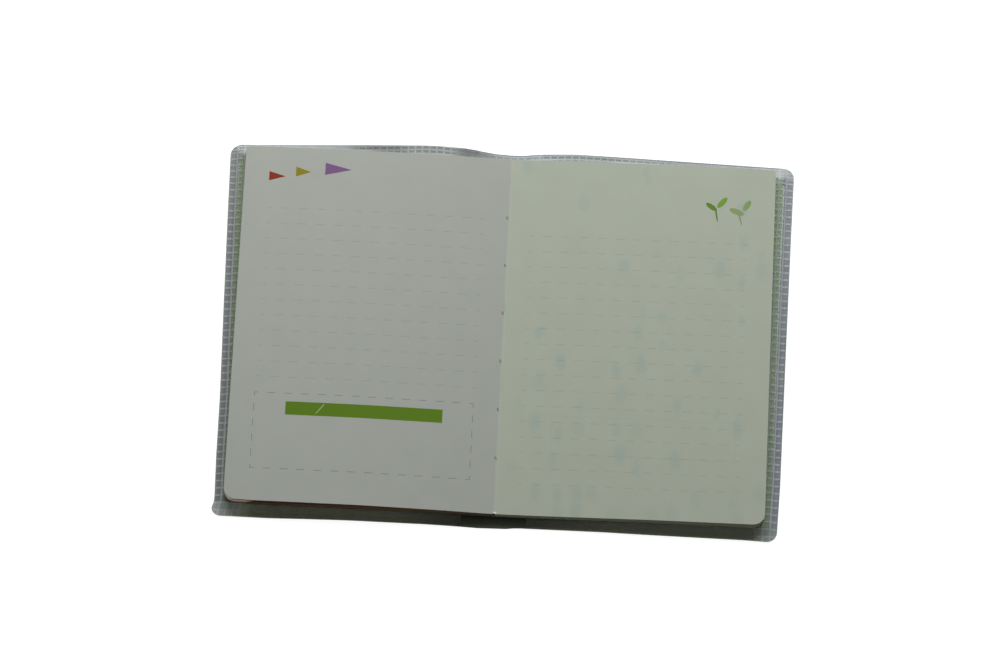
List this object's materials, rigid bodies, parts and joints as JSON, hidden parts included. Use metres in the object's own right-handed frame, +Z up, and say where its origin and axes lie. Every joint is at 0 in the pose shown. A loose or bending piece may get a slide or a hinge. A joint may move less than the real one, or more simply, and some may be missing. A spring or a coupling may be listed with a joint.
{
  "type": "pocket notebook",
  "caption": "Pocket notebook lying open at its centre: thread-sewn sections of ruled paper in a card cover, slid into a clear grid-printed slip jacket with welded pockets.",
  "frame": {"origin": "on the table under the gutter, midway between the head and the tail of the open book", "axes": "+X towards the fore edge of the back half, +Y towards the head of the pages, +Z up"},
  "size_m": [0.2212, 0.1554, 0.007],
  "materials": {
    "clear_pvc": "soft clear sheet with a fine pale printed grid",
    "green_card": "matte coloured card",
    "page_paper": "matte uncoated paper with faint dashed rules",
    "endpaper": "matte coloured paper",
    "lining_cloth": "thin open-weave lining",
    "thread": "waxed sewing thread"
  },
  "bodies": {
    "back_half": {"jacket_back_panel": "clear_pvc", "jacket_spine": "clear_pvc", "jacket_back_pocket": "clear_pvc", "cover_back_board": "green_card", "cover_spine": "green_card", "endpaper_back": "endpaper", "section_06": "page_paper", "section_07": "page_paper", "section_08": "page_paper", "section_09": "page_paper", "section_05_back_half": "page_paper", "spine_lining_back": "lining_cloth", "sewing_thread": "thread", "kettle_stitch_back_head": "thread", "kettle_stitch_back_tail": "thread"},
    "front_half": {"jacket_front_panel": "clear_pvc", "jacket_front_pocket": "clear_pvc", "cover_front_board": "green_card", "endpaper_front": "endpaper", "section_01": "page_paper", "section_02": "page_paper", "section_03": "page_paper", "section_04": "page_paper", "section_05_front_half": "page_paper", "spine_lining_front": "lining_cloth", "kettle_stitch_front_head": "thread", "kettle_stitch_front_tail": "thread"},
    "leaf_front": {"centre_leaf_front": "page_paper"},
    "leaf_back": {"centre_leaf_back": "page_paper"}
  },
  "joints": [
    {"name": "book_close", "type": "hinge", "parent": "back_half", "child": "front_half", "pos_m": [0, 0, 0.00686], "axis": [0, 1, 0], "range_deg": [0, 179], "deforming": ["jacket_spine", "cover_spine"]},
    {"name": "leaf_front_turn", "type": "hinge", "parent": "front_half", "child": "leaf_front", "pos_m": [0, 0, 0.00686], "axis": [0, 1, 0], "range_deg": [0, 172]},
    {"name": "leaf_back_turn", "type": "hinge", "parent": "back_half", "child": "leaf_back", "pos_m": [0, 0, 0.00686], "axis": [0, -1, 0], "range_deg": [0, 172]}
  ]
}
